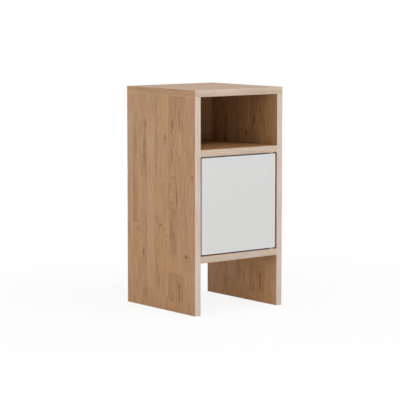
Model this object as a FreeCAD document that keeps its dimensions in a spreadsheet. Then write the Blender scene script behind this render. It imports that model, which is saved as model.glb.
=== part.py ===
import FreeCAD, Part
import os
import re
import Sketcher

# A nightstand with an open niche, a cupboard behind one inset door, and an open leg space.
# Frame: X to the right across the front, Y towards the back, Z up, origin on the floor in
# the middle of the footprint. The front faces -Y. All lengths are millimetres.

DRIVING_SIZES = (
    ("overall_width", 296, "outside of one side panel to the outside of the other"),
    ("overall_depth", 300, "front edges to rear edges"),
    ("overall_height", 590, "floor to the upper face of the top"),
    ("board", 18, "thickness of every laminated board"),
    ("band", 0.8, "thickness of the edge bands"),
    ("niche_height", 138, "clear height of the open niche"),
    ("cupboard_height", 260, "clear height of the cupboard"),
    ("door_gap", 3.3, "gap over and under the inset door"),
    ("door_side_gap", 5.3, "gap beside the inset door, left and right"),
    ("door_recess", 1, "door face behind the front edges"),
    ("fitting_inset", 50, "cam fittings from the front and rear edges of a shelf"),
    ("dowel_spacing", 40, "a dowel from the cam fitting beside it"),
    ("back_fitting_inset", 60, "cam fittings from the ends of the back panel"),
    ("cam_setback", 24, "centre of a cam lock from the edge it draws in"),
    ("cam_diameter", 14.8, "cam lock"),
    ("cam_height", 12.3, "cam lock"),
    ("cam_bore_diameter", 15, "bore for a cam lock"),
    ("cam_bore_depth", 12.6, "bore for a cam lock"),
    ("cam_slot_width", 2, "driver slot of a cam lock"),
    ("cam_slot_length", 9, "driver slot of a cam lock"),
    ("cam_slot_depth", 2.2, "driver slot of a cam lock"),
    ("cam_mouth_diameter", 6.6, "mouth of a cam lock that takes the bolt's head"),
    ("bolt_thread_diameter", 5.8, "cam bolt, screwed end"),
    ("bolt_thread_length", 11, "cam bolt, screwed end"),
    ("bolt_collar_diameter", 7.6, "cam bolt, collar on the board's face"),
    ("bolt_collar_length", 2, "cam bolt, collar"),
    ("bolt_shank_diameter", 5, "cam bolt, shank"),
    ("bolt_neck_diameter", 3.4, "cam bolt, neck behind the head"),
    ("bolt_neck_length", 3, "cam bolt, neck"),
    ("bolt_head_diameter", 6, "cam bolt, head in the lock"),
    ("bolt_head_length", 2.6, "cam bolt, head"),
    ("bolt_bore_diameter", 8, "bore along a board for a cam bolt"),
    ("dowel_diameter", 8, "wooden dowel"),
    ("dowel_length", 30, "wooden dowel"),
    ("dowel_chamfer", 1, "wooden dowel, chamfer at both ends"),
    ("dowel_face_depth", 12, "dowel bore in the face of a board"),
    ("dowel_edge_depth", 20, "dowel bore in the edge of a board"),
    ("cap_diameter", 17, "cover cap over a cam lock"),
    ("cap_height", 1, "cover cap"),
    ("cap_crown", 0.4, "rounded rim of a cover cap"),
    ("pivot_setback", 9, "pivot axis from the door's hinge edge"),
    ("pivot_depth", 7, "pivot axis from the door's front face"),
    ("pivot_pin_diameter", 4, "pivot pin"),
    ("pivot_pin_reach", 9, "pivot pin into the door"),
    ("pivot_pin_chamfer", 0.6, "pivot pin, chamfer at its free end"),
    ("leaf_length", 30, "pivot leaf, pivot axis to its far end"),
    ("leaf_width", 9, "pivot leaf"),
    ("leaf_thickness", 2.5, "pivot leaf, let in flush"),
    ("washer_diameter", 9, "washer that carries the door on the pivot"),
    ("leaf_screw_spacing", 11, "leaf screws, one from the next"),
    ("leaf_screw_inset", 5, "leaf screw from the leaf's far end"),
    ("leaf_screw_length", 13, "leaf screw"),
    ("leaf_screw_diameter", 2.8, "leaf screw"),
    ("leaf_screw_head_diameter", 5.6, "leaf screw, head"),
    ("leaf_screw_head_height", 1.6, "leaf screw, head"),
    ("latch_inset", 60, "middle of the push latch from the cupboard's free side"),
    ("latch_width", 15, "push latch, housing"),
    ("latch_length", 72, "push latch, housing"),
    ("latch_height", 18, "push latch, housing"),
    ("latch_axis", 12, "push latch, axis of the plunger under the shelf"),
    ("latch_ear_width", 30, "push latch, screw ears across"),
    ("latch_ear_length", 12, "push latch, screw ears along"),
    ("latch_ear_thickness", 2.4, "push latch, screw ears"),
    ("latch_bore_diameter", 9.4, "push latch, bore for the plunger"),
    ("latch_end_wall", 2.5, "push latch, wall behind the spring"),
    ("plunger_diameter", 9.2, "push latch, plunger"),
    ("plunger_travel", 14, "push latch, how far the plunger comes out"),
    ("plunger_guide", 28, "push latch, plunger still in its bore when it is out"),
    ("plunger_press", 3, "push latch, how far the door is pressed in to release it"),
    ("magnet_height", 3, "magnet in the plunger's tip"),
    ("spring_diameter", 7, "spring behind the plunger, outside"),
    ("spring_wire", 0.8, "spring behind the plunger, wire"),
    ("strike_diameter", 14, "steel strike disc on the door"),
    ("strike_thickness", 2, "steel strike disc on the door"),
    ("small_screw_length", 14, "screws of the latch and the strike"),
    ("small_screw_diameter", 3.2, "screws of the latch and the strike"),
    ("small_screw_head_diameter", 6.4, "screws of the latch and the strike"),
    ("small_screw_head_height", 1.4, "screws of the latch and the strike"),
    ("screw_drive_width", 0.7, "cross recess in a screw's head"),
    ("screw_drive_share", 0.55, "length of the cross recess as a share of the head"),
    ("screw_drive_depth", 0.9, "cross recess in a screw's head"),
    ("hole_clearance", 0.1, "air round a screw, bolt or dowel in its bore, each side"),
    ("end_play", 0.5, "room beyond the end of a screw, bolt or pin in its bore"),
    ("pivot_clearance", 0.05, "air round the pivot pin in the door's leaf, each side"),
    ("seat_clearance", 0.3, "air between the plunger's magnet and the strike"),
)

WORKED_OUT_SIZES = (
    ("side_height", "overall_height - board"),
    ("inner_width", "overall_width - 2 * board"),
    ("half_inner", "inner_width / 2"),
    ("shelf_depth", "overall_depth - board"),
    ("front_edge", "-overall_depth / 2"),
    ("rear_edge", "overall_depth / 2"),
    ("back_front", "rear_edge - board"),
    ("middle_shelf_top", "side_height - niche_height"),
    ("middle_shelf_under", "middle_shelf_top - board"),
    ("bottom_shelf_top", "middle_shelf_under - cupboard_height"),
    ("bottom_shelf_under", "bottom_shelf_top - board"),
    ("back_height", "side_height - bottom_shelf_under"),
    ("door_width", "inner_width - 2 * door_side_gap"),
    ("door_height", "cupboard_height - 2 * door_gap"),
    ("door_left", "-door_width / 2"),
    ("door_bottom", "bottom_shelf_top + door_gap"),
    ("door_top", "door_bottom + door_height"),
    ("door_front", "front_edge + door_recess"),
    ("door_rear", "door_front + board"),
    ("pivot_along", "door_width / 2 - pivot_setback"),
    ("pivot_back", "door_front + pivot_depth"),
    ("fitting_rear", "shelf_depth - fitting_inset"),
    ("dowel_front", "fitting_inset + dowel_spacing"),
    ("dowel_rear", "fitting_rear - dowel_spacing"),
    ("half_board", "board / 2"),
    ("dowel_hole", "dowel_diameter + 2 * hole_clearance"),
    ("bolt_hole", "bolt_thread_diameter + 2 * hole_clearance"),
    ("bolt_hole_depth", "bolt_thread_length + end_play"),
    ("bolt_bore_depth", "cam_setback"),
    ("latch_along", "latch_inset - half_inner"),
    ("strike_face", "door_rear + strike_thickness"),
    ("magnet_face", "strike_face + seat_clearance"),
    ("latch_front", "magnet_face + plunger_press"),
    ("plunger_length", "plunger_guide + plunger_travel"),
    ("plunger_level", "middle_shelf_under - latch_axis"),
    ("spring_length", "latch_length - latch_end_wall + plunger_press - magnet_height - plunger_length"),
)


def fill_sheet(title, rows):
    """Makes a spreadsheet with one named cell for each size"""
    sheet = doc.addObject("Spreadsheet::Sheet", title)
    for row, (alias, content, note) in enumerate(rows, start=1):
        sheet.set(f"A{row}", note)
        sheet.set(f"B{row}", content)
        sheet.setAlias(f"B{row}", alias)
    doc.recompute()
    return sheet


doc = FreeCAD.newDocument("Nightstand")
SHEET_OF = {alias: "Sizes" for alias, _, _ in DRIVING_SIZES}
SHEET_OF.update({alias: "WorkedOut" for alias, _ in WORKED_OUT_SIZES})


def formula(words):
    """Points every size named in a formula to its cell"""
    return re.sub(r"[a-z_]+", lambda word: f"{SHEET_OF[word.group()]}.{word.group()}", words)


fill_sheet("Sizes", [(alias, str(value), note) for alias, value, note in DRIVING_SIZES])
fill_sheet("WorkedOut", [(alias, "=" + formula(rule), "") for alias, rule in WORKED_OUT_SIZES])

# Directions, and the turns that lay a part's own axes along them
RIGHT = FreeCAD.Vector(1, 0, 0)
LEFT = -RIGHT
BACK = FreeCAD.Vector(0, 1, 0)
FRONT = -BACK
UP = FreeCAD.Vector(0, 0, 1)
DOWN = -UP


def turned_to(own_z, own_x):
    """The turn that points a part's own Z axis and X axis in two given directions"""
    return FreeCAD.Rotation(own_x, own_z.cross(own_x), own_z, "ZXY")


LEVEL = turned_to(UP, RIGHT)
UPRIGHT_SIDE = turned_to(LEFT, UP)
UPRIGHT_BACK = turned_to(FRONT, RIGHT)


def bind(thing, **formulas):
    """Ties properties of an object to formulas of named sizes"""
    for prop, words in formulas.items():
        thing.setExpression(prop.replace("__", "."), formula(words))


def place(thing, corner, turn=LEVEL):
    """Turns an object and ties the place of its own origin to three formulas"""
    thing.Placement = FreeCAD.Placement(FreeCAD.Vector(), turn)
    for axis, words in zip("xyz", corner):
        thing.setExpression(f"Placement.Base.{axis}", formula(words))


def labelled(thing, label):
    """Gives a finished part the name that its file and node take"""
    thing.Label = label
    nodes.append(thing)
    return thing


nodes = []
cut_volumes = []


class Piece:
    """A body drawn flat in a frame of its own: pads and pockets between two levels of Z"""

    PLANES = {
        "XY": ("XY_Plane", 1),
        "YZ": ("YZ_Plane", 1),
        "XZ": ("XZ_Plane", -1),
    }

    def __init__(self, label, corner, turn=LEVEL):
        self.body = doc.addObject("PartDesign::Body", label)
        place(self.body, corner, turn)
        labelled(self.body, label)

    def sketch(self, plane, level):
        """An empty sketch on a plane of the body, moved along the plane's normal axis"""
        role, sign = self.PLANES[plane]
        sketch = self.body.newObject("Sketcher::SketchObject", "profile")
        planes = self.body.Origin.OriginFeatures
        sketch.AttachmentSupport = [(next(p for p in planes if p.Role == role), "")]
        sketch.MapMode = "FlatFace"
        if level != "0":
            bind(sketch, AttachmentOffset__Base__z=level if sign > 0 else f"-({level})")
        return sketch

    def outline(self, sketch, corners):
        """A closed outline of straight lines through corners given as formulas"""
        count = len(corners)
        spread = [FreeCAD.Vector(evaluate(x), evaluate(y), 0) for x, y in corners]
        for i in range(count):
            sketch.addGeometry(Part.LineSegment(spread[i], spread[(i + 1) % count]), False)
        for i in range(count):
            sketch.addConstraint(Sketcher.Constraint("Coincident", i, 2, (i + 1) % count, 1))
        for i, corner in enumerate(corners):
            self.pin_down(sketch, i, 1, corner)

    def circles(self, sketch, centres, diameter):
        """Circles of one diameter at centres given as formulas"""
        for centre in centres:
            spot = FreeCAD.Vector(evaluate(centre[0]), evaluate(centre[1]), 0)
            circle = Part.Circle(spot, UP, evaluate(diameter) / 2)
            index = sketch.addGeometry(circle, False)
            self.pin_down(sketch, index, 3, centre)
            size = Sketcher.Constraint("Diameter", index, evaluate(diameter))
            self.tie(sketch, size, diameter)

    def pin_down(self, sketch, index, point, spot):
        """Ties one point of a sketch to its two coordinates"""
        for kind, words in zip(("DistanceX", "DistanceY"), spot):
            distance = Sketcher.Constraint(kind, -1, 1, index, point, evaluate(words))
            self.tie(sketch, distance, words)

    def tie(self, sketch, constraint, words):
        number = sketch.addConstraint(constraint)
        sketch.setExpression(f"Constraints[{number}]", formula(words))

    def pad(self, draw, shape, low, high):
        """Adds material between two levels"""
        sketch = self.sketch("XY", low)
        draw(sketch, *shape)
        pad = self.body.newObject("PartDesign::Pad", "pad")
        pad.Profile = sketch
        bind(pad, Length=f"({high}) - ({low})")
        doc.recompute()

    def pocket(self, draw, shape, plane, level, depth, onwards):
        """Cuts from a level, onwards along the plane's normal axis or back against it"""
        before = self.body.Shape.Volume
        sketch = self.sketch(plane, level)
        draw(sketch, *shape)
        pocket = self.body.newObject("PartDesign::Pocket", "pocket")
        pocket.Profile = sketch
        pocket.Reversed = onwards == (self.PLANES[plane][1] > 0)
        bind(pocket, Length=depth)
        doc.recompute()
        cut_volumes.append((self.body.Label, before, self.body.Shape.Volume))


def evaluate(words):
    """The present value of a formula"""
    return float(gauge.evalExpression(formula(words)))


gauge = doc.getObject("Sizes")


def rectangle(left, right, low, high):
    return [(left, low), (right, low), (right, high), (left, high)]


class Board(Piece):
    """A laminated board: length along its X, width along its Y, lower face on its XY plane"""

    def __init__(self, label, length, width, corner, turn=LEVEL):
        super().__init__(label, corner, turn)
        self.corner = corner
        self.axes = {
            "X": turn.multVec(RIGHT),
            "Y": turn.multVec(BACK),
            "Z": turn.multVec(UP),
        }
        self.faces = {
            "lower": ("XY", "0", True),
            "upper": ("XY", "board", False),
            "start": ("YZ", "0", True),
            "end": ("YZ", length, False),
            "near": ("XZ", "0", True),
            "far": ("XZ", width, False),
        }
        self.pad(self.outline, (rectangle("0", length, "0", width),), "0", "board")

    def drill(self, face, points, diameter, depth):
        """Drills like holes into one face or edge, at points of the nightstand's own frame"""
        centres = [self.on_face(face, point) for point in points]
        self.pocket(self.circles, (centres, diameter), *self.bore(face, depth))

    def rout(self, face, points, depth):
        """Routs a recess with a straight outline into one face or edge"""
        corners = [self.on_face(face, point) for point in points]
        self.pocket(self.outline, (corners,), *self.bore(face, depth))

    def bore(self, face, depth):
        plane, level, onwards = self.faces[face]
        return plane, level, depth, onwards

    def on_face(self, face, point):
        """The two coordinates of a point in the sketch plane of a face or edge"""
        plane = self.faces[face][0]
        return [self.along(self.axes[name], point) for name in plane]

    def along(self, axis, point):
        """How far a point lies from the board's origin along one of the board's own axes"""
        main = max(range(3), key=lambda i: abs(axis[i]))
        ahead, behind = point[main], self.corner[main]
        if axis[main] < 0:
            ahead, behind = behind, ahead
        return f"{ahead} - ({behind})"


def solid_box(name, size, corner, turn=LEVEL):
    """A rectangular block that starts at its corner"""
    block = doc.addObject("Part::Box", name)
    bind(block, Length=size[0], Width=size[1], Height=size[2])
    place(block, corner, turn)
    return block


def fused(name, members):
    """One shape from several, or the only one"""
    if len(members) == 1:
        return members[0]
    joined = doc.addObject("Part::MultiFuse", name)
    joined.Shapes = members
    return joined


def turned(name, start, steps):
    """A turned part along its own Z axis, from steps of (lower radius, upper radius, length)"""
    members = []
    level = start
    for lower, upper, length in steps:
        kind = "Part::Cylinder" if lower == upper else "Part::Cone"
        member = doc.addObject(kind, name + "_step")
        if lower == upper:
            bind(member, Radius=lower, Height=length)
        else:
            bind(member, Radius1=lower, Radius2=upper, Height=length)
        place(member, ("0", "0", level))
        members.append(member)
        level = f"{level} + {length}"
    return fused(name, members)


def without(name, whole, tools):
    """A shape with other shapes cut out of it"""
    cut = doc.addObject("Part::Cut", name)
    cut.Base = whole
    cut.Tool = fused(name + "_tools", tools)
    return cut


def group(label, members):
    """One node for like parts that stay separate solids"""
    gathered = doc.addObject("Part::Compound", label)
    gathered.Links = members
    return labelled(gathered, label)


def copies(label, master, seats):
    """Copies of a part at several seats, each an origin and a turn, as one node"""
    members = []
    for corner, turn in seats:
        copy = doc.addObject("App::Link", label + "_copy")
        copy.setLink(master)
        copy.LinkTransform = True
        place(copy, corner, turn)
        members.append(copy)
    return group(label, members)


def strips(label, rows):
    """Edge bands: thin blocks, each with its three sizes and its corner"""
    return group(label, [solid_box(label + "_strip", size, corner) for size, corner in rows])


# Boards. Each core is smaller than its finished size by the edge bands on it.
core_width = "overall_width - 2 * band"
core_depth = "overall_depth - 2 * band"
top = Board(
    "top_panel", core_width, core_depth,
    ("band - overall_width / 2", "front_edge + band", "side_height"),
)
left_side = Board(
    "left_side_panel", "side_height", core_depth,
    ("-half_inner", "front_edge + band", "0"), UPRIGHT_SIDE,
)
right_side = Board(
    "right_side_panel", "side_height", core_depth,
    ("overall_width / 2", "front_edge + band", "0"), UPRIGHT_SIDE,
)
middle_shelf = Board(
    "middle_shelf", "inner_width", "shelf_depth - band",
    ("-half_inner", "front_edge + band", "middle_shelf_under"),
)
bottom_shelf = Board(
    "bottom_shelf", "inner_width", "shelf_depth - band",
    ("-half_inner", "front_edge + band", "bottom_shelf_under"),
)
back = Board(
    "back_panel", "inner_width", "back_height - band",
    ("-half_inner", "rear_edge", "bottom_shelf_under + band"), UPRIGHT_BACK,
)
door = Board(
    "door_panel", "door_width - 2 * band", "door_height - 2 * band",
    ("door_left + band", "door_rear", "door_bottom + band"), UPRIGHT_BACK,
)

# Cam fittings: a bolt in the face of one board, a cam lock in the other, and dowels beside them
shank_length = "cam_setback - bolt_collar_length - bolt_neck_length - bolt_head_length / 2"
bolt_steps = [
    ("bolt_thread_diameter / 2", "bolt_thread_diameter / 2", "bolt_thread_length"),
    ("bolt_collar_diameter / 2", "bolt_collar_diameter / 2", "bolt_collar_length"),
    ("bolt_shank_diameter / 2", "bolt_shank_diameter / 2", shank_length),
    ("bolt_neck_diameter / 2", "bolt_neck_diameter / 2", "bolt_neck_length"),
    ("bolt_head_diameter / 2", "bolt_head_diameter / 2", "bolt_head_length"),
]
cam_bolt = turned("cam_bolt", "-bolt_thread_length", bolt_steps)

dowel_end = "dowel_diameter / 2 - dowel_chamfer"
dowel_steps = [
    (dowel_end, "dowel_diameter / 2", "dowel_chamfer"),
    ("dowel_diameter / 2", "dowel_diameter / 2", "dowel_length - 2 * dowel_chamfer"),
    ("dowel_diameter / 2", dowel_end, "dowel_chamfer"),
]
dowel = turned("dowel", "(dowel_edge_depth - dowel_face_depth - dowel_length) / 2", dowel_steps)

cap_rim = "cap_diameter / 2 - cap_crown"
cap_steps = [
    ("cap_diameter / 2", "cap_diameter / 2", "cap_height - cap_crown"),
    ("cap_diameter / 2", cap_rim, "cap_crown"),
]
cap = turned("cap", "0", cap_steps)

cam_body = turned("cam_body", "-cam_bore_depth", [("cam_diameter / 2", "cam_diameter / 2", "cam_height")])
cam_mouth = doc.addObject("Part::Cylinder", "cam_mouth")
bind(cam_mouth, Radius="cam_mouth_diameter / 2", Height="cam_diameter")
place(cam_mouth, ("-bolt_head_length", "0", "-half_board"), turned_to(RIGHT, UP))
slot_floor = "cam_height - cam_bore_depth - cam_slot_depth"
slot_size = ("cam_slot_length", "cam_slot_width", "cam_height")
slot_corner = ("-cam_slot_length / 2", "-cam_slot_width / 2", slot_floor)
slot_across = ("cam_slot_width / 2", "-cam_slot_length / 2", slot_floor)
cam_lock = without("cam_lock", cam_body, [
    cam_mouth,
    solid_box("cam_slot", slot_size, slot_corner),
    solid_box("cam_slot", slot_size, slot_across, turned_to(UP, BACK)),
])


def moved(point, direction, distance):
    """A point as three formulas, moved along one of the main directions"""
    steps = []
    for words, share in zip(point, direction):
        sign = {1: "+", -1: "-"}.get(round(share))
        steps.append(f"{words} {sign} ({distance})" if sign else words)
    return tuple(steps)


JOINTS = ("top", "middle_shelf", "bottom_shelf", "back_panel")
fittings = {name: {"bolt": [], "cam": [], "dowel": []} for name in JOINTS}
cap_seats = []


def fasten(name, held, held_face, drawn, drawn_edge, into, cam_face, cam_normal, bolts, dowels):
    """Drills one butt joint and seats its bolts, cam locks and dowels, with caps on seen locks"""
    held.drill(held_face, bolts, "bolt_hole", "bolt_hole_depth")
    held.drill(held_face, dowels, "dowel_hole", "dowel_face_depth")
    drawn.drill(drawn_edge, bolts, "bolt_bore_diameter", "bolt_bore_depth")
    drawn.drill(drawn_edge, dowels, "dowel_hole", "dowel_edge_depth")
    own = fittings[name]
    own["bolt"] += [(spot, turned_to(into, cam_normal)) for spot in bolts]
    own["dowel"] += [(spot, turned_to(into, cam_normal)) for spot in dowels]
    cam_seat = turned_to(cam_normal, -into)
    centres = [moved(moved(spot, into, "cam_setback"), cam_normal, "half_board") for spot in bolts]
    drawn.drill(cam_face, centres, "cam_bore_diameter", "cam_bore_depth")
    own["cam"] += [(centre, cam_seat) for centre in centres]
    if cam_normal != BACK:
        cap_seats.extend((centre, cam_seat) for centre in centres)


def at_depths(along, depths, level):
    """Points at several depths behind the front edges"""
    return [(along, f"front_edge + {depth}", level) for depth in depths]


top_dowel_depths = ("fitting_inset", "(fitting_inset + dowel_rear) / 2", "dowel_rear")
back_mid = "rear_edge - half_board"
for side, inner_face, edge, sign, into in (
    (left_side, "lower", "start", "-", RIGHT),
    (right_side, "upper", "end", "", LEFT),
):
    along = f"{sign}(half_inner + half_board)"
    fasten(
        "top", top, "lower", side, "end", DOWN, inner_face, into,
        at_depths(along, ["fitting_rear"], "side_height"),
        at_depths(along, top_dowel_depths, "side_height"),
    )
    face = f"{sign}half_inner"
    for name, shelf in (("middle_shelf", middle_shelf), ("bottom_shelf", bottom_shelf)):
        level = f"{name}_under + half_board"
        fasten(
            name, side, inner_face, shelf, edge, into, "lower", DOWN,
            at_depths(face, ["fitting_inset", "fitting_rear"], level),
            at_depths(face, ["dowel_front", "dowel_rear"], level),
        )
    heights = ("bottom_shelf_under + back_fitting_inset", "side_height - back_fitting_inset")
    fasten(
        "back_panel", side, inner_face, back, edge, into, "lower", BACK,
        [(face, back_mid, height) for height in heights],
        [(face, back_mid, f"{heights[0]} + dowel_spacing"),
         (face, back_mid, f"{heights[1]} - dowel_spacing")],
    )
fasten(
    "top", top, "lower", back, "far", DOWN, "lower", BACK,
    [("back_fitting_inset - half_inner", back_mid, "side_height"),
     ("half_inner - back_fitting_inset", back_mid, "side_height")],
    [("back_fitting_inset + dowel_spacing - half_inner", back_mid, "side_height"),
     ("half_inner - back_fitting_inset - dowel_spacing", back_mid, "side_height")],
)
for name, seats in fittings.items():
    copies(f"{name}_cam_bolts", cam_bolt, seats["bolt"])
    copies(f"{name}_cam_locks", cam_lock, seats["cam"])
    copies(f"{name}_dowels", dowel, seats["dowel"])
copies("cam_cover_caps", cap, cap_seats)

# Pivot hinges: a leaf with a riveted pin let into each shelf, and a leaf let into each end of
# the door that turns on the pin, with a washer between them
def screw_master(name, size):
    """A pan-head wood screw with a cross recess, its head's seat at its own origin"""
    head = f"{size}_head_diameter / 2"
    shank = turned(name + "_body", f"-{size}_length", [
        (f"{size}_diameter / 4", f"{size}_diameter / 2", f"{size}_diameter"),
        (f"{size}_diameter / 2", f"{size}_diameter / 2", f"{size}_length - {size}_diameter"),
        (head, head, f"{size}_head_height"),
    ])
    reach = f"{size}_head_diameter * screw_drive_share"
    floor = f"{size}_head_height - screw_drive_depth"
    bar = (reach, "screw_drive_width", f"{size}_head_height")
    return without(name, shank, [
        solid_box(name + "_slot", bar, (f"-{reach} / 2", "-screw_drive_width / 2", floor)),
        solid_box(
            name + "_slot", bar,
            ("screw_drive_width / 2", f"-{reach} / 2", floor), turned_to(UP, BACK),
        ),
    ])


leaf_screw = screw_master("leaf_screw", "leaf_screw")
small_screw = screw_master("small_screw", "small_screw")

far_screw = "leaf_length - leaf_screw_inset"
screw_places = [far_screw, f"{far_screw} - leaf_screw_spacing"]
screw_seat = "leaf_screw_head_height"
pin_hole = "pivot_pin_diameter + 2 * pivot_clearance"
rivet_hole = "pivot_pin_diameter + 2 * hole_clearance"
screw_hole = "leaf_screw_diameter + 2 * hole_clearance"
head_hole = "leaf_screw_head_diameter + 2 * hole_clearance"
pivot_pins = []
washers = []
leaf_screws = []


def make_leaf(label, level, outward, eye):
    """A leaf with round ends, an eye for the pivot pin and two sunk screw holes"""
    leaf = Piece(label, ("pivot_along", "pivot_back", level), turned_to(outward, LEFT))
    ends = [("0", "0"), ("leaf_length", "0")]
    leaf.pad(leaf.circles, (ends, "leaf_width"), "-leaf_thickness", "0")
    bar = rectangle("0", "leaf_length", "-leaf_width / 2", "leaf_width / 2")
    leaf.pad(leaf.outline, (bar,), "-leaf_thickness", "0")
    screws = [(place, "0") for place in screw_places]
    for centres, diameter, depth in (
        ([("0", "0")], eye, "leaf_thickness"),
        (screws, screw_hole, "leaf_thickness"),
        (screws, head_hole, screw_seat),
    ):
        leaf.pocket(leaf.circles, (centres, diameter), "XY", "0", depth, False)


def let_in_leaf(board, face, level, skin):
    """Recesses one face or edge for a leaf, with the bore for its pin and its screws"""
    axis = ("pivot_along", "pivot_back", level)
    far_end = moved(axis, LEFT, "leaf_length")
    width = "leaf_width + 2 * hole_clearance"
    half = f"({width}) / 2"
    board.drill(face, [axis, far_end], width, f"leaf_thickness - {skin}")
    corners = [moved(axis, FRONT, half), moved(axis, BACK, half)]
    corners += [moved(far_end, BACK, half), moved(far_end, FRONT, half)]
    board.rout(face, corners, f"leaf_thickness - {skin}")
    board.drill(face, [axis], rivet_hole, f"pivot_pin_reach + end_play - {skin}")
    seats = [moved(axis, LEFT, place) for place in screw_places]
    board.drill(face, seats, screw_hole, f"leaf_screw_length + {screw_seat} + end_play - {skin}")


pin_straight = "leaf_thickness + door_gap + pivot_pin_reach - pivot_pin_chamfer"
pin_steps = [
    ("pivot_pin_diameter / 2", "pivot_pin_diameter / 2", pin_straight),
    ("pivot_pin_diameter / 2", "pivot_pin_diameter / 2 - pivot_pin_chamfer", "pivot_pin_chamfer"),
]
pivot_pin = turned("pivot_pin", "-leaf_thickness", pin_steps)
washer_body = turned("washer_body", "0", [("washer_diameter / 2", "washer_diameter / 2", "door_gap")])
washer_hole = f"({rivet_hole}) / 2"
washer_eye = turned("washer_eye", "-door_gap", [(washer_hole, washer_hole, "3 * door_gap")])
washer = without("washer", washer_body, [washer_eye])

for end, shelf, shelf_face, shelf_level, door_edge, door_level, to_door in (
    ("lower", bottom_shelf, "upper", "bottom_shelf_top", "near", "door_bottom", UP),
    ("upper", middle_shelf, "lower", "middle_shelf_under", "far", "door_top", DOWN),
):
    let_in_leaf(shelf, shelf_face, shelf_level, "0")
    let_in_leaf(door, door_edge, door_level, "band")
    make_leaf(f"{end}_pivot_leaf_on_shelf", shelf_level, to_door, rivet_hole)
    make_leaf(f"{end}_pivot_leaf_on_door", door_level, -to_door, pin_hole)
    axis = ("pivot_along", "pivot_back", shelf_level)
    seat = turned_to(to_door, LEFT)
    pivot_pins.append((axis, seat))
    washers.append((axis, seat))
    for level, outward, owner in ((shelf_level, to_door, "shelf"), (door_level, -to_door, "door")):
        for spot in screw_places:
            corner = moved(("pivot_along", "pivot_back", level), LEFT, spot)
            leaf_screws.append((owner, moved(corner, -outward, screw_seat), turned_to(outward, LEFT)))
copies("pivot_pins", pivot_pin, pivot_pins)
copies("pivot_washers", washer, washers)
for owner in ("shelf", "door"):
    seats = [(corner, turn) for where, corner, turn in leaf_screws if where == owner]
    copies(f"pivot_leaf_screws_on_{owner}", leaf_screw, seats)

# Push-to-open latch under the middle shelf, and its strike on the inside of the door
latch = Piece(
    "latch_housing", ("latch_along", "latch_front", "middle_shelf_under"), turned_to(DOWN, BACK),
)
latch_body = rectangle("0", "latch_length", "-latch_width / 2", "latch_width / 2")
latch.pad(latch.outline, (latch_body,), "0", "latch_height")
ear_front = "(latch_length - latch_ear_length) / 2"
ears = rectangle(
    ear_front, f"{ear_front} + latch_ear_length", "-latch_ear_width / 2", "latch_ear_width / 2",
)
latch.pad(latch.outline, (ears,), "0", "latch_ear_thickness")
ear_middle = "(latch_width + latch_ear_width) / 4"
ear_screws = [("latch_length / 2", ear_middle), ("latch_length / 2", f"-({ear_middle})")]
small_hole = "small_screw_diameter + 2 * hole_clearance"
latch.pocket(
    latch.circles, (ear_screws, small_hole), "XY", "latch_ear_thickness", "latch_ear_thickness", False,
)
latch.pocket(
    latch.circles, ([("0", "latch_axis")], "latch_bore_diameter"),
    "YZ", "0", "latch_length - latch_end_wall", True,
)
plunger_seat = (("latch_along", "magnet_face", "plunger_level"), turned_to(BACK, UP))
plunger_radius = "plunger_diameter / 2"
magnet = turned("magnet", "0", [(plunger_radius, plunger_radius, "magnet_height")])
plunger = turned("plunger", "magnet_height", [(plunger_radius, plunger_radius, "plunger_length")])
spring_start = "magnet_height + plunger_length"
spring_radius = "spring_diameter / 2"
spring_out = turned("spring_out", spring_start, [(spring_radius, spring_radius, "spring_length")])
spring_bore = "spring_diameter / 2 - spring_wire"
spring_in = turned("spring_in", spring_start, [(spring_bore, spring_bore, "2 * spring_length")])
spring = without("spring", spring_out, [spring_in])
copies("latch_plunger", plunger, [plunger_seat])
copies("latch_magnet", magnet, [plunger_seat])
copies("latch_spring", spring, [plunger_seat])

ear_points = [
    (f"latch_along {sign} {ear_middle}", "latch_front + latch_length / 2", "middle_shelf_under")
    for sign in "+-"
]
middle_shelf.drill("lower", ear_points, small_hole, "small_screw_length + end_play - latch_ear_thickness")
seats = [(moved(point, DOWN, "latch_ear_thickness"), turned_to(DOWN, BACK)) for point in ear_points]
copies("latch_screws", small_screw, seats)

strike_point = ("latch_along", "door_rear", "plunger_level")
disc = turned("disc", "0", [("strike_diameter / 2", "strike_diameter / 2", "strike_thickness")])
disc_hole = turned("disc_hole", "-strike_thickness", [
    (f"({small_hole}) / 2", f"({small_hole}) / 2", "2 * strike_thickness"),
])
head_radius = "small_screw_head_diameter / 2 + hole_clearance"
head_seat = turned("head_seat", "strike_thickness - small_screw_head_height", [
    (head_radius, head_radius, "strike_thickness"),
])
strike = without("strike", disc, [disc_hole, head_seat])
inward = turned_to(BACK, UP)
copies("strike_disc", strike, [(strike_point, inward)])
sunk = "strike_thickness - small_screw_head_height"
copies("strike_screw", small_screw, [(moved(strike_point, BACK, sunk), inward)])
door.drill("lower", [strike_point], small_hole, f"small_screw_length + end_play - ({sunk})")

# Edge bands, glued on after the boards are cut
left_edge = "-overall_width / 2"
under_top = "side_height"
strips("top_edge_bands", [
    (("overall_width", "band", "board"), (left_edge, "front_edge", under_top)),
    (("overall_width", "band", "board"), (left_edge, "rear_edge - band", under_top)),
    (("band", core_depth, "board"), (left_edge, "front_edge + band", under_top)),
    (("band", core_depth, "board"), ("overall_width / 2 - band", "front_edge + band", under_top)),
])
for label, edge in (("left_side", left_edge), ("right_side", "half_inner")):
    strips(f"{label}_edge_bands", [
        (("board", "band", "side_height"), (edge, "front_edge", "0")),
        (("board", "band", "side_height"), (edge, "rear_edge - band", "0")),
    ])
for label in ("middle_shelf", "bottom_shelf"):
    strips(f"{label}_edge_band", [
        (("inner_width", "band", "board"), ("-half_inner", "front_edge", f"{label}_under")),
    ])
strips("back_panel_edge_band", [
    (("inner_width", "board", "band"), ("-half_inner", "back_front", "bottom_shelf_under")),
])


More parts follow.
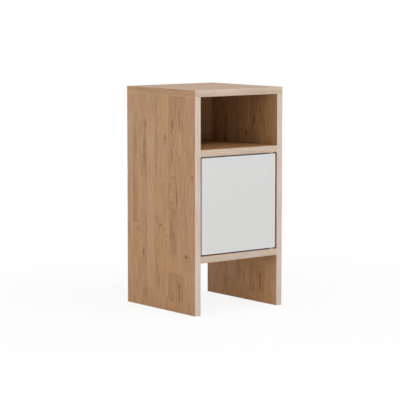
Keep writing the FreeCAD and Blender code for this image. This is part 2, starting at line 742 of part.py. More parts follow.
def leaf_space(name, level, turn):
    """The space that a leaf takes in an edge band"""
    radius = "leaf_width / 2 + hole_clearance"
    members = [turned(name, "-leaf_thickness", [(radius, radius, "2 * leaf_thickness")])]
    members.append(turned(name, "-leaf_thickness", [(radius, radius, "2 * leaf_thickness")]))
    place(members[1], ("leaf_length", "0", "-leaf_thickness"))
    bar = ("leaf_length", f"2 * ({radius})", "2 * leaf_thickness")
    members.append(solid_box(name, bar, ("0", f"-({radius})", "-leaf_thickness")))
    space = fused(name, members)
    place(space, ("pivot_along", "pivot_back", level), turn)
    return space


across = ("door_width", "board", "band")
upright = ("band", "board", "door_height - 2 * band")
low_strip = solid_box("door_strip", across, ("door_left", "door_front", "door_bottom"))
high_strip = solid_box("door_strip", across, ("door_left", "door_front", "door_top - band"))
low_space = leaf_space("low_leaf_space", "door_bottom", turned_to(DOWN, LEFT))
high_space = leaf_space("high_leaf_space", "door_top", turned_to(UP, LEFT))
group("door_edge_bands", [
    without("door_low_band", low_strip, [low_space]),
    without("door_high_band", high_strip, [high_space]),
    solid_box("door_strip", upright, ("door_left", "door_front", "door_bottom + band")),
    solid_box("door_strip", upright, ("door_width / 2 - band", "door_front", "door_bottom + band")),
])

doc.recompute()
for thing in doc.Objects:
    if "Invalid" in thing.State or "Error" in thing.State:
        raise RuntimeError(f"{thing.Label} failed to build")
for label, before, after in cut_volumes:
    if not after < before:
        raise RuntimeError(f"a cut in {label} removed nothing")
for thing in nodes:
    if thing.Shape.isNull() or not thing.Shape.isValid():
        raise RuntimeError(f"{thing.Label} has no sound shape")

os.makedirs("parts", exist_ok=True)
for thing in nodes:
    thing.Shape.exportStep(f"parts/{thing.Label}.step")
print(len(nodes), "nodes")
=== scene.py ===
import math
import random

import bmesh
import bpy
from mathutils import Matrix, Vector


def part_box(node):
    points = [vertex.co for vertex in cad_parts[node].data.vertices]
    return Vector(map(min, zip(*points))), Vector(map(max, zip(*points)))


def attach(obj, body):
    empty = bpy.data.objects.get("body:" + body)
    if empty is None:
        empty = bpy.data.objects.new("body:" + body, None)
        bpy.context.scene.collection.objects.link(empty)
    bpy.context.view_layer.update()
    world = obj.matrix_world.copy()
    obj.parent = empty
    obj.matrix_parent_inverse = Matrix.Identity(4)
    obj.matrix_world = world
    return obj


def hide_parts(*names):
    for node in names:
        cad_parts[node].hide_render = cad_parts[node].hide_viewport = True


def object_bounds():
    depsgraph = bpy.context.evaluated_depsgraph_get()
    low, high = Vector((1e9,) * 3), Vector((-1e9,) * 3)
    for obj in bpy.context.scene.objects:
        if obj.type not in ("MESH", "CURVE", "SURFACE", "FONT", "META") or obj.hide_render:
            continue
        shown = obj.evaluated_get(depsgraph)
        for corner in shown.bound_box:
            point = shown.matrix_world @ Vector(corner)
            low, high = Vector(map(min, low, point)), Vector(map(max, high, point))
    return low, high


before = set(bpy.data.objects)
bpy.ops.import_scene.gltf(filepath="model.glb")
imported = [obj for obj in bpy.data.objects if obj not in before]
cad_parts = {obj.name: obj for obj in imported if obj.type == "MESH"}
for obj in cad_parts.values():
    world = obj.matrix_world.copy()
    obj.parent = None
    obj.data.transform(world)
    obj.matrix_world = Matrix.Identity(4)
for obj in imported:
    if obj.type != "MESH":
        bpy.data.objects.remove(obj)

cad_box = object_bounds()
mm = 0.001

# Camera. It stands in front of the nightstand's left front corner, a little higher than its top,
# and looks slightly down on it. Its place and lens were fitted to the corners of the boards.
CAMERA_PLACE = (-3.0064, -3.8123, 0.8376)
CAMERA_DOWN, CAMERA_ROUND = math.radians(6.523), math.radians(38.124)
CAMERA_LENS, CAMERA_SENSOR, CAMERA_REACH = 162.52, 36, 60

camera = bpy.data.objects.new("camera", bpy.data.cameras.new("camera"))
camera.location = CAMERA_PLACE
camera.rotation_euler = (math.pi / 2 - CAMERA_DOWN, 0, -CAMERA_ROUND)
camera.data.lens = CAMERA_LENS
camera.data.sensor_width = CAMERA_SENSOR
camera.data.clip_end = CAMERA_REACH
bpy.context.scene.collection.objects.link(camera)
bpy.context.scene.camera = camera
bpy.context.scene.view_settings.view_transform = "Standard"


# Side panels. Two boards of chipboard, 18 mm thick, faced on both sides with an oak print of
# upright planks. They stand on the floor on their bare lower edges. Both carry the same print,
# so a knot or a dark vein of one is at the same height and depth on the other.

class Link:
    """What comes out of a socket. Sums with a number from it add Math nodes to its tree."""

    def __init__(self, tree, socket):
        self.tree, self.socket = tree, socket

    def sum(self, operation, first, second):
        return self.tree.node("ShaderNodeMath", {"operation": operation}, first, second)

    def __add__(self, other):
        return self.sum("ADD", self, other)

    def __sub__(self, other):
        return self.sum("SUBTRACT", self, other)

    def __rsub__(self, other):
        return self.sum("SUBTRACT", other, self)

    def __mul__(self, other):
        return self.sum("MULTIPLY", self, other)

    def __truediv__(self, other):
        return self.sum("DIVIDE", self, other)

    def __pow__(self, power):
        return self.sum("POWER", self, power)

    def __gt__(self, other):
        return self.sum("GREATER_THAN", self, other)

    def __lt__(self, other):
        return self.sum("LESS_THAN", self, other)

    __radd__, __rmul__ = __add__, __mul__


class Tree:
    """A node tree that is written as expressions."""

    def __init__(self, tree):
        self.tree = tree
        tree.nodes.clear()

    def node(self, kind, settings=None, *values, output=0, **named):
        """Adds a node: its settings come first, then the values or links of its sockets."""
        made = self.tree.nodes.new(kind)
        for key, setting in (settings or {}).items():
            if key == "stops":
                self.set_stops(made.color_ramp, setting)
            else:
                setattr(made, key, setting)
        sockets = [(made.inputs[place], value) for place, value in enumerate(values)]
        for key, value in named.items():
            word = key.replace("_", " ")
            sockets.append((next(s for s in made.inputs if s.identifier in (key, word)), value))
        for socket, value in sockets:
            if isinstance(value, Link):
                self.tree.links.new(value.socket, socket)
            elif value is not None:
                socket.default_value = value
        if isinstance(output, str):
            return Link(self, next(s for s in made.outputs if output in (s.identifier, s.name)))
        return Link(self, made.outputs[output]) if len(made.outputs) else made

    def set_stops(self, ramp, stops):
        """Gives a colour ramp its stops, each a place and a colour."""
        while len(ramp.elements) < len(stops):
            ramp.elements.new(1)
        for element, (place, colour) in zip(ramp.elements, stops):
            element.position, element.color = place, colour


class Finish(Tree):
    """A node material. across, behind and above are a point's X, Y and Z on the nightstand."""

    def __init__(self, name):
        self.material = bpy.data.materials.new(name)
        self.material.use_nodes = True
        super().__init__(self.material.node_tree)
        self.place = self.node("ShaderNodeTexCoord", output="Object")
        self.across, self.behind, self.above = (
            self.node("ShaderNodeSeparateXYZ", None, self.place, output=axis) for axis in "XYZ"
        )

    def noise(self, first, second, third=0.0, detail=2.0, roughness=0.5):
        """Soft noise from 0 to 1, about 0.5 on average, over three numbers."""
        spot = self.node("ShaderNodeCombineXYZ", None, first, second, third)
        return self.node(
            "ShaderNodeTexNoise", None, Vector=spot, Scale=1.0, Detail=detail, Roughness=roughness,
        )

    def random(self, number):
        """A number from 0 to 1 that differs for each whole number."""
        return self.node("ShaderNodeTexWhiteNoise", {"noise_dimensions": "1D"}, W=number)

    def smooth(self, value, low, high, start=0.0, end=1.0):
        """start below low, end above high, and a soft change between them."""
        settings = {"interpolation_type": "SMOOTHSTEP"}
        return self.node("ShaderNodeMapRange", settings, value, low, high, start, end)

    def ping_pong(self, value, scale):
        """A number that climbs to scale and falls back to 0, over and over."""
        return self.node("ShaderNodeMath", {"operation": "PINGPONG"}, value, scale)

    def size_of(self, value):
        """A number without its sign."""
        return self.node("ShaderNodeMath", {"operation": "ABSOLUTE"}, value)

    def mix(self, share, first, second):
        """A colour between two colours."""
        return self.node(
            "ShaderNodeMix", {"data_type": "RGBA"},
            Factor_Float=share, A_Color=first, B_Color=second, output="Result_Color",
        )

    def ramp(self, value, *stops):
        """A colour from the stops that a value lies between."""
        return self.node("ShaderNodeValToRGB", {"stops": stops}, value)

    def bump(self, height, distance):
        """The dents and grooves that a height gives."""
        return self.node("ShaderNodeBump", None, Height=height, Distance=distance, output="Normal")

    def oval(self, spot, middle, half_sizes):
        """How far a spot lies from the middle of an oval mark: 0 there, and 1 on its rim."""
        near = self.node(
            "ShaderNodeMapping", {"vector_type": "TEXTURE"},
            spot, (*middle, 0.0), (0.0, 0.0, 0.0), (*half_sizes, 1.0),
        )
        return self.node("ShaderNodeVectorMath", {"operation": "LENGTH"}, near, output="Value")

    def surface(self, colour, roughness, normal, **constants):
        """Ends the material in its shader."""
        shader = self.node(
            "ShaderNodeBsdfPrincipled", None,
            Base_Color=colour, Roughness=roughness, Normal=normal, **constants, output="BSDF",
        )
        self.node("ShaderNodeOutputMaterial", None, shader)
        return self.material


def paint(red, green, blue):
    """A colour that is given as it is seen on a screen, from 0 to 255."""

    def linear(value):
        share = value / 255
        return share / 12.92 if share <= 0.04045 else ((share + 0.055) / 1.055) ** 2.4

    return (linear(red), linear(green), linear(blue), 1.0)


CHIP_RATE, CHIP_ROUGHNESS = 620.0, 0.85
CHIP_DARK, CHIP_MIDDLE, CHIP_PALE = paint(118, 90, 60), paint(168, 136, 98), paint(202, 174, 134)


def chipboard(finish):
    """The colour and the height of the bare core: pressed chips of mixed wood."""
    flakes = finish.node(
        "ShaderNodeTexVoronoi", {"feature": "F1"},
        Vector=finish.place, Scale=CHIP_RATE, Randomness=1.0, output="Color",
    )
    flake = finish.node("ShaderNodeSeparateXYZ", None, flakes, output="X")
    crumbs = finish.noise(finish.across * 900, finish.behind * 900, finish.above * 900, detail=3.0)
    tone = flake * 0.7 + crumbs * 0.3
    return finish.ramp(tone, (0.15, CHIP_DARK), (0.45, CHIP_MIDDLE), (0.8, CHIP_PALE)), crumbs


# Layers of the grain: how often each changes in a metre, across the grain and along it.
GRAIN_RATES = {
    "wander": (14, 5), "slow": (24, 6), "streak": (120, 15), "thread": (420, 32), "tick": (260, 80),
    "pore": (1900, 60), "fray": (260, 90), "hue": (34, 3.1),
}
SLOW_WEIGHT, STREAK_WEIGHT, THREAD_WEIGHT = 0.18, 0.29, 0.27
TICK_WEIGHT, RING_WEIGHT, PORE_WEIGHT = 0.07, 0.05, 0.05
PLANK_WEIGHT, MARK_WEIGHT = 0.85, 0.9
HEART_PITCH, HEART_SIDE, HEART_DEPTH, HEART_SHIFT = 34 * mm, 14 * mm, 16 * mm, 50 * mm
RING_PITCH, RING_SLOPE, RING_WANDER = 7.5 * mm, 0.055, 13 * mm
PLANK_WANDER, STAVE_BLUR, MARK_FRAY = 0.6 * mm, 8 * mm, (4 * mm, 7 * mm)
LOG_LENGTH = 9.0


def oak_print(finish, across, along, planks, staves, marks, seed):
    """The shade, hue, pores and threads of an oak print. across and along are in metres, and
    planks, staves and marks in millimetres.

    planks are (edge, change in shade beyond it). staves are short pieces within them: (low and
    high end across, low and high end along, change in shade, change in hue). marks are knots,
    dark veins, and pale ones where the strength is below zero: (across, along, half width, half
    length, strength).
    """

    def layer(name, depth, shift=None, **settings):
        rate_across, rate_along = GRAIN_RATES[name]
        sideways = across * rate_across
        if shift is not None:
            sideways = sideways + shift
        return finish.noise(sideways, along * rate_along, depth, **settings)

    wander = layer("wander", seed) - 0.5
    edge_wobble = across + wander * PLANK_WANDER
    number, shade, hue = 0.0, 0.5, 0.0
    for edge, change in planks:
        beyond = edge_wobble > edge * mm
        number, shade = number + beyond, shade + beyond * (change * PLANK_WEIGHT)
    for place, (low, high, start, end, change, tint) in enumerate(staves):
        row = (edge_wobble > low * mm) * (edge_wobble < high * mm)
        start, end = start * mm, end * mm
        number = number + row * (along > start) * (along < end) * (20 + place)
        begun = finish.smooth(along, start - STAVE_BLUR, start + STAVE_BLUR)
        going_on = finish.smooth(along, end - STAVE_BLUR, end + STAVE_BLUR, 1.0, 0.0)
        settled = row * begun * going_on
        shade, hue = shade + settled * (change * PLANK_WEIGHT), hue + settled * tint
    lot = finish.random(number + seed)
    offset = lot * LOG_LENGTH
    heart = finish.ping_pong(across + lot * HEART_SHIFT, HEART_PITCH) - HEART_SIDE
    bent = (heart * heart + HEART_DEPTH ** 2) ** 0.5
    rings = (bent - (along + offset) * RING_SLOPE + wander * RING_WANDER) / RING_PITCH
    ring_line = finish.smooth(finish.ping_pong(rings, 0.5) * 2, 0.45, 1.0)
    slow = layer("slow", offset + seed)
    streak = layer("streak", offset + 3, wander * 2, detail=3.0, roughness=0.62)
    thread = layer("thread", offset + 7, detail=3.0, roughness=0.6)
    tick = finish.smooth(layer("tick", offset + 13, detail=1.0), 0.56, 0.74)
    pore = finish.smooth(layer("pore", offset + 11, detail=1.0), 0.60, 0.72)
    shade = shade + (slow - 0.5) * SLOW_WEIGHT + (streak - 0.5) * STREAK_WEIGHT
    shade = shade + (thread - 0.5) * THREAD_WEIGHT
    shade = shade - tick * TICK_WEIGHT - ring_line * RING_WEIGHT - pore * PORE_WEIGHT
    fray = layer("fray", 5.0) - 0.5
    spot = finish.node(
        "ShaderNodeCombineXYZ", None, across + fray * MARK_FRAY[0], along + fray * MARK_FRAY[1],
    )
    for mark_across, mark_along, half_width, half_length, strength in marks:
        far = finish.oval(spot, (mark_across * mm, mark_along * mm), (half_width * mm, half_length * mm))
        shade = shade - finish.smooth(far, 0.0, 1.2, strength * MARK_WEIGHT, 0.0)
    return shade, hue + layer("hue", offset + 17, 5), pore, thread


OAK_DARKEST = paint(98, 62, 36)
OAK_DARK = paint(140, 99, 63)
OAK_MIDDLE = paint(170, 130, 89)
OAK_LIGHT = paint(184, 147, 106)
OAK_PALEST = paint(199, 166, 126)
OAK_GOLDEN = paint(180, 139, 86)
OAK_GREYED = paint(172, 138, 110)
# A pale rosy tone that is painted on upper and outer faces as sheen, standing for gloss at grazing angles.
OAK_PAINTED_SHEEN = paint(190, 164, 150)
OAK_GLOSS, OAK_ROUGHNESS, OAK_DENT = 0.06, 0.47, 0.06 * mm
CORE_SKIN = 0.25 * mm


def oak_laminate(name, grain, faces, planks, seed, staves=(), marks=(), mirrored=False, painted_sheen=0.0):
    """A board's finish: oak print on its two faces and bare chipboard on what is cut.

    grain names the axes across the grain, along it and through the board, and faces are the
    levels of the board's faces. A mirrored finish also serves the like board on the left.
    The last argument is how much painted sheen the upper or outer face takes: a pale rosy tone that stands
    for gloss at grazing angles.
    """
    finish = Finish(name)
    axes = {"x": finish.across, "y": finish.behind, "z": finish.above}
    across, along, level = (axes[axis] for axis in grain)
    shade, hue, pore, thread = oak_print(finish, across, along, planks, staves, marks, seed)
    wood = finish.ramp(
        shade, (0.05, OAK_DARKEST), (0.30, OAK_DARK), (0.50, OAK_MIDDLE),
        (0.66, OAK_LIGHT), (0.92, OAK_PALEST),
    )
    wood = finish.mix(finish.smooth(hue, 0.52, 0.74, 0.0, 0.55), wood, OAK_GOLDEN)
    wood = finish.mix(finish.smooth(hue, 0.48, 0.28, 0.0, 0.50), wood, OAK_GREYED)
    core, core_height = chipboard(finish)
    if mirrored:
        level = finish.size_of(level)
    low, high = faces
    # Painted sheen: the upper or outer face is mixed towards the pale rosy tone, for the gloss that light
    # gives there at grazing angles.
    if painted_sheen:
        wood = finish.mix((level > high - CORE_SKIN) * painted_sheen, wood, OAK_PAINTED_SHEEN)
    cut = (level > low + CORE_SKIN) * (level < high - CORE_SKIN)
    rough = OAK_ROUGHNESS + pore * 0.16 + (thread - 0.5) * 0.12 + cut * (CHIP_ROUGHNESS - 0.5)
    normal = finish.bump(pore * -0.6 + thread * 0.4 + core_height * cut * 6, OAK_DENT)
    return finish.surface(finish.mix(cut, wood, core), rough, normal, Specular_IOR_Level=OAK_GLOSS)


STAVE_WIDTHS, STAVE_LENGTHS, STAVE_TONE, STAVE_TINT = (24, 36), (180, 420), 0.06, 0.09


def laid_staves(low, high, start, end, seed):
    """Rows of short staves, in millimetres, that fill a board whose ends are given in metres."""
    low, high, start, end = (level / mm for level in (low, high, start, end))
    draw = random.Random(seed)
    staves, edge = [], low
    while edge < high:
        width = draw.uniform(*STAVE_WIDTHS)
        place = start - draw.uniform(0, 260)
        while place < end:
            length = draw.uniform(*STAVE_LENGTHS)
            if place + length > start:
                tone, tint = draw.uniform(-STAVE_TONE, STAVE_TONE), draw.uniform(-STAVE_TINT, STAVE_TINT)
                staves.append((edge, edge + width, place, place + length, tone, tint))
            place += length
        edge += width
    return staves


def finish_node(name, material):
    """Gives a CAD node its material."""
    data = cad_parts[name].data
    data.materials.clear()
    data.materials.append(material)


right_low, right_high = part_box("right_side_panel")
# Planks, staves and marks of the sides' print, from a panel's middle and from the floor, in mm.
SIDE_PLANKS = (
    (-100, -0.025), (-70, -0.01), (-34, 0.04), (-5, -0.015), (26, 0.04), (60, -0.055), (82, 0.03),
    (100, -0.035), (124, 0.04),
)
SIDE_STAVES = (
    (27, 60, 245, 500, 0.04, -0.1), (27, 60, 52, 243, 0.04, -0.11), (27, 62, 506, 600, -0.01, -0.03),
    (27, 62, -10, 49, -0.01, -0.03), (62, 81, 372, 503, -0.08, -0.03), (60, 81, 160, 243, 0, -0.01),
    (83, 93, 240, 346, 0.04, 0.17), (82, 100, 346, 560, 0, 0.05), (101, 124, 226, 400, -0.05, 0.04),
    (83, 122, 130, 222, 0.02, 0.04), (-33, -26, 486, 600, 0.05, 0.3), (-33, -26, 40, 132, 0.05, 0.3),
    (-33, 3, 345, 445, 0.04, -0.07), (-6, 26, 245, 350, 0.03, -0.02), (-69, -35, 104, 150, 0.04, -0.02),
    (-69, -35, 152, 266, -0.05, -0.03), (-100, -35, 486, 600, -0.03, -0.02),
    (-100, -35, 28, 102, -0.03, -0.02), (-52, -43, 388, 452, -0.07, 0.06),
    (-92, -78, 418, 482, 0.03, 0.12), (-100, -70, 150, 240, 0, -0.09), (-150, -101, 268, 345, 0, -0.05),
    (-150, -101, 345, 600, 0.01, 0.01), (-150, -101, -10, 120, 0, 0.01),
)
PRINT_REPEAT = 455.5
SIDE_MARKS = [
    (-3, 226, 7.5, 7, 0.42), (-13, 215.5, 10, 5, 0.16), (20, 241, 6, 12, 0.18), (40, 244, 40, 6, 0.08),
    (-28, 206, 15, 4, -0.13), (-27, 198.5, 15, 4, 0.1), (-30, 192, 12, 4, -0.12),
    (-28, 184, 11, 4, 0.12), (-31, 177, 10, 4, -0.12), (-27, 170, 10, 4, 0.06),
    (-111, 152, 7.5, 5.5, 0.52), (-106, 166, 4, 14, -0.1), (-115, 142, 7, 6, 0.1),
    (-136, 364, 5, 6, 0.36), (-139.5, 356, 3, 12, 0.2), (76, 147, 5, 14, 0.28), (68, 130, 5, 30, 0.08),
    (-64, 354, 3.4, 10, 0.2), (-68, 333, 3.4, 19, 0.24), (-70.5, 303, 4, 26, 0.3),
    (-54, 357, 14, 5, 0.14), (-51, 290, 13, 9, 0.13), (-56, 266, 12, 16, 0.13), (-40, 334, 6, 9, 0.15),
    (-50, 313, 9, 10, -0.1), (-49, 412, 7, 22, 0.16), (-62, 385, 4, 28, 0.12),
    (-73, 440, 2.4, 60, 0.15), (-88, 335, 2.6, 42, 0.14), (14.5, 108, 3, 16, 0.24),
    (7, 85, 2.4, 34, 0.14), (22, 381, 3.2, 9, 0.24), (22.5, 330, 2, 65, 0.14), (23, 212, 2.2, 70, 0.22),
    (-21, 462, 4.6, 11, 0.2), (-15, 446, 3.4, 20, 0.15), (12, 565, 3, 12, 0.2),
    (112, 440, 4.4, 75, 0.12), (115, 85, 4, 50, 0.12), (73, 434, 6, 20, 0.18), (71, 402, 6, 18, 0.14),
    (98, 226, 26, 6, 0.1), (100, 206, 16, 12, 0.1), (64, 357, 9, 20, 0.1), (-51, 205, 12, 14, 0.12),
    (135, 310, 12, 60, 0.05), (-48, 230, 4, 18, 0.1),
]
for start in (0, PRINT_REPEAT):
    SIDE_MARKS += [
        (-53, start + 41, 9, 17, 0.22), (-48, start + 26, 5, 16, 0.12), (-80, start + 73, 6, 13, 0.19),
        (-81.8, start + 50, 4, 28, 0.32), (-94, start + 46, 2.4, 22, 0.15),
        (53, start + 47.5, 29, 5, 0.06), (70, start + 38, 8, 16, 0.13),
        (107, start + 57, 3.6, 20, 0.24), (-18, start + 5, 3, 12, 0.18), (6, start + 53, 4, 5, 0.12),
    ]
# The outer faces take a faint painted sheen, a pale rosy tone for gloss at grazing angles; the inner faces
# have none.
side_oak = oak_laminate(
    "side_oak", "yzx", (right_low.x, right_high.x), SIDE_PLANKS, 2.0, SIDE_STAVES, SIDE_MARKS,
    mirrored=True, painted_sheen=0.08,
)
for label in ("left_side_panel", "right_side_panel"):
    finish_node(label, side_oak)


# Shelves. The niche's floor and the cupboard's floor are boards of the same kind, with the grain
# across the nightstand. Cams in their undersides draw them to the side panels.
for label, seed in (("middle_shelf", 5.0), ("bottom_shelf", 8.0)):
    low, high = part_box(label)
    finish_node(label, oak_laminate(
        label + "_oak", "yxz", (low.z, high.z), (), seed, laid_staves(low.y, high.y, low.x, high.x, seed),
    ))


# Back panel. It stands between the side panels, flush with their rear edges, closes the niche
# and the cupboard, and leaves the leg space open. Its grain lies across the nightstand.
low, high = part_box("back_panel")
finish_node("back_panel", oak_laminate(
    "back_oak", "zxy", (low.y, high.y), ((0, 0.07),), 12.0,
    laid_staves(low.z, high.z, low.x, high.x, 12.0),
))


# Top. It lies over the side panels and the back panel, with its grain across the nightstand.
# Its upper face takes a strong painted sheen: a pale rosy tone that stands for gloss at grazing angles, so
# it looks rosier and paler than the sides.
low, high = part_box("top_panel")
finish_node("top_panel", oak_laminate(
    "top_oak", "yxz", (low.z, high.z), (), 15.0,
    laid_staves(low.y, high.y, low.x, high.x, 15.0), painted_sheen=0.5,
))


# Edge bands. Strips of plastic 0.8 mm thick with an oak print along them, glued on and trimmed flush, with
# their outer arrises scraped round. The bands of the uprights, the shelves and the top's front and rear
# are paler than the boards, partly as their own print and partly as painted light that stands for the
# brighter light on the front faces; the top's end bands keep a darker tone near the boards', so the top's
# band is painted as a lit and a shaded copy.
BAND_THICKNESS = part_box("left_side_panel")[0].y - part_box("left_side_edge_bands")[0].y
BAND_ARRIS = 0.4 * mm
BAND_GLOSS = 0.3
LOW, HIGH = 0, 1
X, Y, Z = 0, 1, 2


def round_arrises(work, radius, is_outer=lambda edge: True):
    """Rounds the sharp edges that is_outer picks."""
    sharp = [
        edge for edge in work.edges
        if len(edge.link_faces) == 2 and edge.calc_face_angle() > math.radians(40) and is_outer(edge)
    ]
    bmesh.ops.bevel(
        work, geom=sharp, offset=radius, segments=2, affect="EDGES", profile=0.5, clamp_overlap=True,
    )


def mesh_from(work, name):
    """The plain mesh of a bmesh, which is freed."""
    made = bpy.data.meshes.new(name)
    work.to_mesh(made)
    work.free()
    return made


def stand_in(name, data, body, node):
    """Makes the piece that stands for a CAD node, with its body."""
    data.set_sharp_from_angle(angle=math.radians(35))
    piece = bpy.data.objects.new(name, data)
    bpy.context.scene.collection.objects.link(piece)
    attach(piece, body)
    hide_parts(node)


def piece_from(work, name, body, materials, node):
    """A stand-in with soft shading between its sharp edges."""
    data = mesh_from(work, name)
    data.polygons.foreach_set("use_smooth", [True] * len(data.polygons))
    for material in materials:
        data.materials.append(material)
    stand_in(name, data, body, node)


TOUCHING = 0.001 * mm


def strip_mesh(low, high, is_outside, material_index):
    """A strip as a box whose edges between two outside faces are rounded."""
    strip = bmesh.new()
    for corner in bmesh.ops.create_cube(strip, size=1.0)["verts"]:
        corner.co = Vector([high[axis] if corner.co[axis] > 0 else low[axis] for axis in range(3)])
    for face in strip.faces:
        face.material_index = material_index
    round_arrises(strip, BAND_ARRIS, lambda edge: all(is_outside(face) for face in edge.link_faces))
    return mesh_from(strip, "strip")


def band_strips(board, node, edges, butted):
    """The strips round a board. edges gives (axis, end, material) for each, in the order of
    gluing: every strip covers the ends of those before it. Faces on the butted axes stay sharp.
    """
    boxes = [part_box(board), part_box(node)]
    low = Vector([min(box[0][axis] for box in boxes) for axis in range(3)])
    high = Vector([max(box[1][axis] for box in boxes) for axis in range(3)])

    def is_outside(face):
        place = face.calc_center_median()
        return any(
            axis not in butted
            and min(abs(place[axis] - low[axis]), abs(place[axis] - high[axis])) < TOUCHING
            for axis in range(3)
        )

    rest, made = [low.copy(), high.copy()], []
    for axis, end, material_index in edges:
        strip = [rest[0].copy(), rest[1].copy()]
        inner = rest[end][axis] + (BAND_THICKNESS if end == LOW else -BAND_THICKNESS)
        strip[1 - end][axis] = inner
        rest[end][axis] = inner
        made.append(strip_mesh(*strip, is_outside, material_index))
    return made


def joined(meshes):
    """Several meshes in one, ready for piece_from."""
    work = bmesh.new()
    for mesh in meshes:
        work.from_mesh(mesh)
    return work


def band_print(name, along, across, pale, dark, golden, rosy, seed, knots=(), gloss=BAND_GLOSS):
    """The finish of an edge band whose grain runs along it.

    along names the axis of the grain, and across those that add up to a way across it. knots are
    dark marks: (place along, place across, half length, half width).
    """
    finish = Finish(name)
    axes = {"x": finish.across, "y": finish.behind, "z": finish.above}
    run, side = axes[along], sum((axes[axis] for axis in across), 0.0)
    slow = finish.noise(side * 60, run * 9, seed)
    streak = finish.noise(side * 330, run * 11, seed + 3, detail=3.0, roughness=0.6)
    thread = finish.noise(side * 1500, run * 30, seed + 9)
    shade = 0.5 + (slow - 0.5) * 0.7 + (streak - 0.5) * 0.8 + (thread - 0.5) * 0.3
    for knot_run, knot_side, half_length, half_width in knots:
        spot = finish.node("ShaderNodeCombineXYZ", None, run, side)
        far = finish.oval(spot, (knot_run, knot_side), (half_length, half_width))
        shade = shade - finish.smooth(far, 0.1, 1.0, 0.45, 0.0)
    hue = finish.noise(side * 110 + 4, run * 6, seed + 15, detail=1.0)
    wood = finish.ramp(shade, (0.2, dark), (0.75, pale))
    wood = finish.mix(finish.smooth(hue, 0.5, 0.75, 0.0, 0.35), wood, golden)
    wood = finish.mix(finish.smooth(hue, 0.5, 0.28, 0.0, 0.40), wood, rosy)
    return finish.surface(
        wood, 0.44 + (thread - 0.5) * 0.2, finish.bump(thread, 0.03 * mm), Specular_IOR_Level=gloss,
    )


# Tones of the bands, in the order pale, dark, golden, rosy, and the marks of the top's bands. The upright
# and level tones carry painted light for the brightly lit front faces on top of the bands' own paler
# print; the end tones, for the top's left and right ends, carry none.
UPRIGHT_TONES = paint(215, 199, 190), paint(192, 172, 158), paint(203, 182, 156), paint(204, 184, 176)
LEVEL_TONES = paint(203, 185, 168), paint(178, 156, 136), paint(203, 182, 156), paint(204, 184, 176)
END_TONES = paint(177, 142, 106), paint(152, 114, 76), paint(180, 140, 92), paint(172, 136, 112)
front_edge, left_edge = cad_box[0].y, cad_box[0].x
TOP_KNOT = (9.5 * mm, front_edge + 584 * mm, 4.5 * mm, 2.2 * mm)
END_STREAK = (-12 * mm, left_edge + 588.6 * mm, 95 * mm, 1.6 * mm)
END_VEIN = (60 * mm, left_edge + 582 * mm, 130 * mm, 2.2 * mm)
upright_band = band_print("upright_band", "z", "xy", *UPRIGHT_TONES, 3.0)
shelf_band = band_print("shelf_band", "x", "yz", *LEVEL_TONES, 6.0)
top_front_band = band_print("top_front_band", "x", "yz", *LEVEL_TONES, 9.0, [TOP_KNOT])
top_end_band = band_print(
    "top_end_band", "y", "xz", *END_TONES, 12.0, [END_STREAK, END_VEIN], gloss=OAK_GLOSS,
)
ROUND_THE_TOP = ((Y, LOW, 0), (Y, HIGH, 0), (X, LOW, 1), (X, HIGH, 1))
for name, board, node, edges, butted, finishes in (
    ("top_bands", "top_panel", "top_edge_bands", ROUND_THE_TOP, (), [top_front_band, top_end_band]),
    ("left_side_bands", "left_side_panel", "left_side_edge_bands",
     ((Y, LOW, 0), (Y, HIGH, 0)), (Z,), [upright_band]),
    ("right_side_bands", "right_side_panel", "right_side_edge_bands",
     ((Y, LOW, 0), (Y, HIGH, 0)), (Z,), [upright_band]),
    ("middle_shelf_band", "middle_shelf", "middle_shelf_edge_band", ((Y, LOW, 0),), (X,), [shelf_band]),
    ("bottom_shelf_band", "bottom_shelf", "bottom_shelf_edge_band", ((Y, LOW, 0),), (X,), [shelf_band]),
    ("back_panel_band", "back_panel", "back_panel_edge_band", ((Z, LOW, 0),), (X,), [shelf_band]),
):
    strips = joined(band_strips(board, node, edges, butted))
    piece_from(strips, name, "root", finishes, node)


# Door. An inset board of chipboard with smooth pale grey faces, and slightly paler plastic bands
# that are slotted for the leaves of the hinges. A press on its free side works the latch.

def pale_board(name, low, high, shade, light):
    """Pale laminate on two faces, and bare chipboard where it is cut."""
    finish = Finish(name)
    flecks = finish.noise(finish.across * 1400, finish.above * 1400)
    clouds = finish.noise(finish.across * 9, finish.above * 9, 4.0, detail=1.0)
    tone = 0.5 + (flecks - 0.5) * 0.12 + (clouds - 0.5) * 0.12
    colour = finish.ramp(tone, (0.2, shade), (0.8, light))
    core, core_height = chipboard(finish)
    cut = (finish.behind > low.y + CORE_SKIN) * (finish.behind < high.y - CORE_SKIN)
    return finish.surface(
        finish.mix(cut, colour, core), 0.42 + (flecks - 0.5) * 0.15 + cut * 0.4,
        finish.bump(flecks + core_height * cut * 4, 0.02 * mm), Specular_IOR_Level=0.4,
    )


def cut_away(whole, tool):
    """A mesh with another mesh cut out of it."""
    kept = bpy.data.objects.new("kept", whole)
    cutter = bpy.data.objects.new("cutter", tool)
    for made in (kept, cutter):
        bpy.context.scene.collection.objects.link(made)
    cut = kept.modifiers.new("cut", "BOOLEAN")
    cut.operation, cut.solver, cut.object, cut.use_self = "DIFFERENCE", "EXACT", cutter, True
    graph = bpy.context.evaluated_depsgraph_get()
    made = bpy.data.meshes.new_from_object(kept.evaluated_get(graph))
    kept.modifiers.remove(cut)
    for used in (kept, cutter):
        bpy.data.objects.remove(used)
    return made


SLOT_CORNERS = 48


